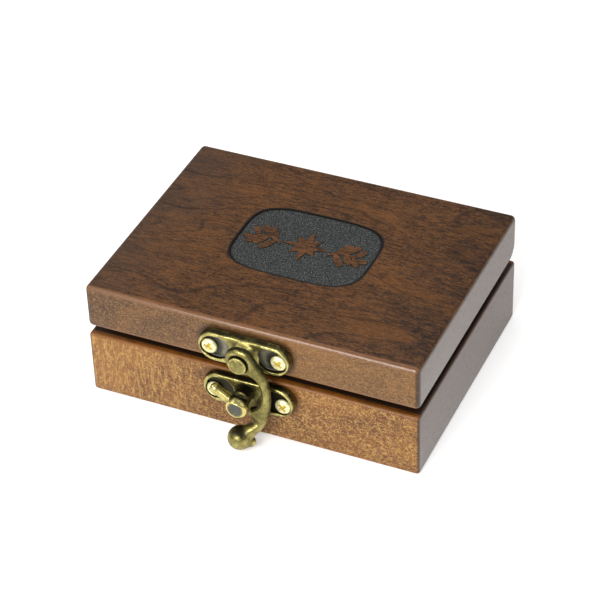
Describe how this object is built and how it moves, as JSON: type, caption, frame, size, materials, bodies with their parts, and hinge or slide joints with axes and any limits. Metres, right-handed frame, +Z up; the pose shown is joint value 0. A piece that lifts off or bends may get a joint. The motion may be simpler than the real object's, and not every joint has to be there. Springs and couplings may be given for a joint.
{
  "type": "presentation box",
  "caption": "Small stained-wood presentation box with a shallow hinged lid, felt-lined inside, closed by a cast antique-brass swing-hook latch on the front.",
  "frame": {"origin": "centre of the base's flat underside, on the surface that the box stands on", "axes": "+X along the front from the left screw to the right screw of the latch, +Y from the latch to the hinges, +Z up"},
  "size_m": [0.1, 0.0877, 0.0369],
  "materials": {
    "stained_wood": "walnut stain under satin lacquer",
    "antique_brass": "cast, antique brown-black in the recesses and rubbed bright on the raised edges",
    "pale_brass": "polished pale brass plate",
    "lining_felt": "short black felt",
    "bumper_rubber": "matt dark brown"
  },
  "bodies": {
    "base": {"base_block": "stained_wood", "base_lining": "lining_felt", "bumper_left": "bumper_rubber", "bumper_right": "bumper_rubber", "strike_plate": "antique_brass", "strike_screw_left": "pale_brass", "strike_screw_right": "pale_brass", "hinge_left_base_leaf": "antique_brass", "hinge_left_pin": "antique_brass", "hinge_left_base_screw_1": "antique_brass", "hinge_left_base_screw_2": "antique_brass", "hinge_right_base_leaf": "antique_brass", "hinge_right_pin": "antique_brass", "hinge_right_base_screw_1": "antique_brass", "hinge_right_base_screw_2": "antique_brass"},
    "lid": {"lid_board": "stained_wood", "lid_lining": "lining_felt", "hasp_plate": "antique_brass", "hasp_screw_left": "pale_brass", "hasp_screw_right": "pale_brass", "hook_rivet": "antique_brass", "hinge_left_lid_leaf": "antique_brass", "hinge_left_lid_screw_1": "antique_brass", "hinge_left_lid_screw_2": "antique_brass", "hinge_right_lid_leaf": "antique_brass", "hinge_right_lid_screw_1": "antique_brass", "hinge_right_lid_screw_2": "antique_brass"},
    "hook": {"swing_hook": "antique_brass"}
  },
  "joints": [
    {"name": "lid_hinge", "type": "hinge", "parent": "base", "child": "lid", "pos_m": [0, 0.0361, 0.0216], "axis": [-1, 0, 0], "range_deg": [0, 110]},
    {"name": "hook_swing", "type": "hinge", "parent": "lid", "child": "hook", "pos_m": [-0.0002, -0.04345, 0.0286], "axis": [0, -1, 0], "range_deg": [-6, 180]}
  ]
}
